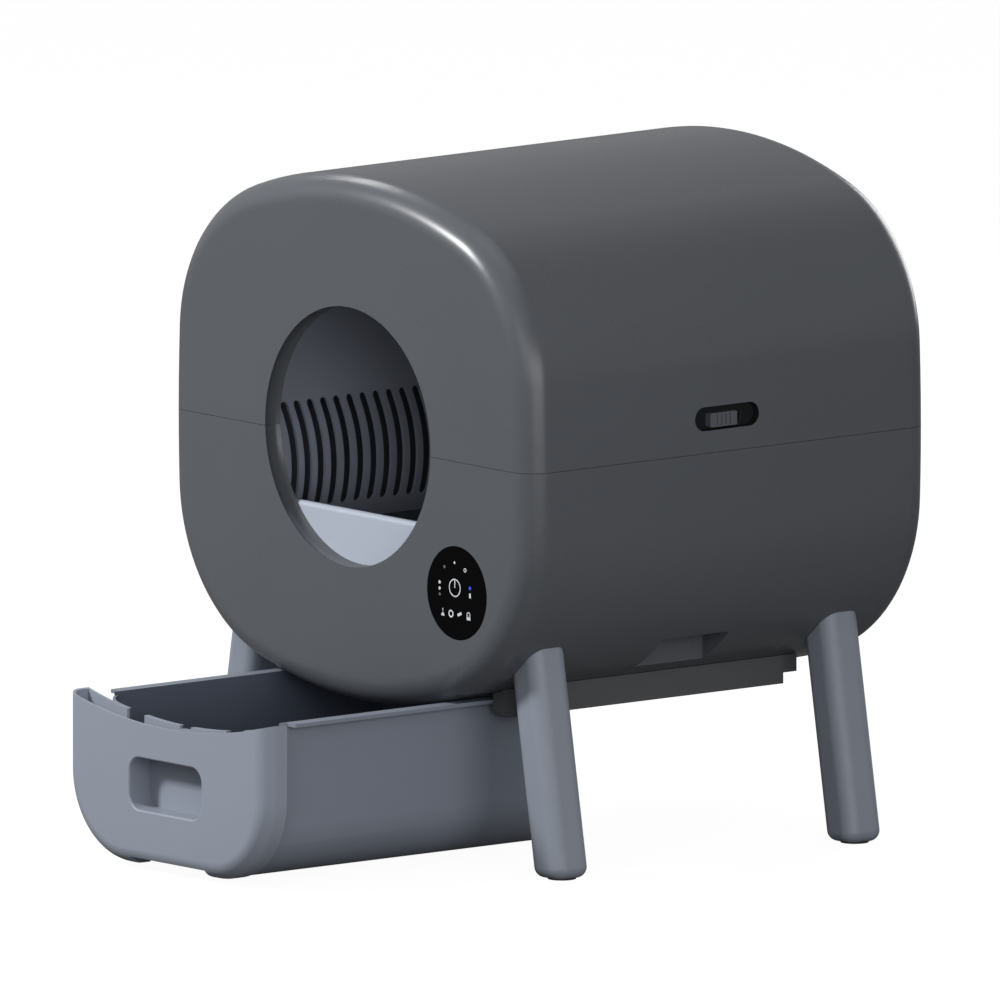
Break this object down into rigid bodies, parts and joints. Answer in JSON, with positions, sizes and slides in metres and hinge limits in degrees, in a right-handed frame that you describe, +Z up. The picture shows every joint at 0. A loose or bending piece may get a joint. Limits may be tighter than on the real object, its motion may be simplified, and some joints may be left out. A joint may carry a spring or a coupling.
{
  "type": "self-cleaning litter box with a waste drawer",
  "caption": "Self-cleaning cat litter box: a slotted drum in a two-part body on legs, with a round entrance, a control panel and a pull-out waste drawer below.",
  "frame": {"origin": "on the floor, at the middle of the box's footprint with the drawer as far out as in the picture", "axes": "+X to the right seen from the front, +Y from the entrance to the back, +Z up"},
  "size_m": [0.525, 0.69, 0.6257],
  "materials": {
    "body_plastic": "fine satin",
    "pale_plastic": "fine satin",
    "guard_plastic": "fine satin",
    "drum_plastic": "satin",
    "dark_plastic": "matte",
    "panel_black": "polished",
    "gear_plastic": "satin",
    "zinc_steel": "zinc plated",
    "motor_black": "satin",
    "board_green": "satin",
    "socket_black": "satin",
    "pad_rubber": "matte"
  },
  "bodies": {
    "base": {"lower_shell": "body_plastic", "front_left_leg": "pale_plastic", "front_right_leg": "pale_plastic", "back_left_leg": "pale_plastic", "back_right_leg": "pale_plastic", "foot_pads": "pad_rubber", "leg_bolts": "zinc_steel", "litter_guard": "guard_plastic", "guard_screws": "zinc_steel", "panel_lens": "panel_black", "display_board": "board_green", "main_board": "board_green", "power_socket": "socket_black", "motor_bracket": "zinc_steel", "gear_motor": "motor_black", "position_sensor": "board_green", "roller_pins": "zinc_steel", "roller_brackets": "dark_plastic", "waste_chute": "dark_plastic", "left_rail": "dark_plastic", "right_rail": "dark_plastic", "rail_screws": "zinc_steel"},
    "lid": {"upper_shell": "body_plastic"},
    "left_latch": {"left_latch": "body_plastic"},
    "right_latch": {"right_latch": "body_plastic"},
    "drum": {"drum_shell": "drum_plastic", "drum_front": "drum_plastic", "drum_back": "drum_plastic", "drum_screws": "zinc_steel", "drum_gear": "gear_plastic", "sieve": "drum_plastic", "position_magnet": "zinc_steel"},
    "pinion": {"drive_pinion": "gear_plastic", "motor_shaft": "zinc_steel"},
    "drawer": {"drawer_bin": "pale_plastic", "drawer_fascia": "pale_plastic", "fascia_screws": "zinc_steel"},
    "front_left_roller": {"front_left_roller": "gear_plastic"},
    "front_right_roller": {"front_right_roller": "gear_plastic"},
    "back_left_roller": {"back_left_roller": "gear_plastic"},
    "back_right_roller": {"back_right_roller": "gear_plastic"}
  },
  "joints": [
    {"name": "drum_spin", "type": "hinge", "parent": "base", "child": "drum", "pos_m": [0, 0.083, 0.3859], "axis": [0, 1, 0], "continuous": true},
    {"name": "pinion_spin", "type": "hinge", "parent": "base", "child": "pinion", "pos_m": [0.20785, 0.2575, 0.2659], "axis": [0, 1, 0], "continuous": true},
    {"name": "drawer_slide", "type": "slide", "parent": "base", "child": "drawer", "axis": [0, -1, 0], "range_m": [-0.215, 0.06]},
    {"name": "lid_lift", "type": "slide", "parent": "base", "child": "lid", "axis": [0, 0, 1], "range_m": [0, 0.26]},
    {"name": "left_latch_slide", "type": "slide", "parent": "lid", "child": "left_latch", "axis": [0, 1, 0], "range_m": [0, 0.02]},
    {"name": "right_latch_slide", "type": "slide", "parent": "lid", "child": "right_latch", "axis": [0, 1, 0], "range_m": [0, 0.02]},
    {"name": "front_left_roller_spin", "type": "hinge", "parent": "base", "child": "front_left_roller", "pos_m": [-0.13037, -0.0735, 0.19971], "axis": [0, 1, 0], "continuous": true},
    {"name": "front_right_roller_spin", "type": "hinge", "parent": "base", "child": "front_right_roller", "pos_m": [0.13037, -0.0735, 0.19971], "axis": [0, 1, 0], "continuous": true},
    {"name": "back_left_roller_spin", "type": "hinge", "parent": "base", "child": "back_left_roller", "pos_m": [-0.13037, 0.2345, 0.19971], "axis": [0, 1, 0], "continuous": true},
    {"name": "back_right_roller_spin", "type": "hinge", "parent": "base", "child": "back_right_roller", "pos_m": [0.13037, 0.2345, 0.19971], "axis": [0, 1, 0], "continuous": true}
  ],
  "couplings": [
    {"joint": "pinion_spin", "follows": "drum_spin", "ratio": -9},
    {"joint": "front_left_roller_spin", "follows": "drum_spin", "ratio": -10.35},
    {"joint": "front_right_roller_spin", "follows": "drum_spin", "ratio": -10.35},
    {"joint": "back_left_roller_spin", "follows": "drum_spin", "ratio": -10.35},
    {"joint": "back_right_roller_spin", "follows": "drum_spin", "ratio": -10.35}
  ]
}
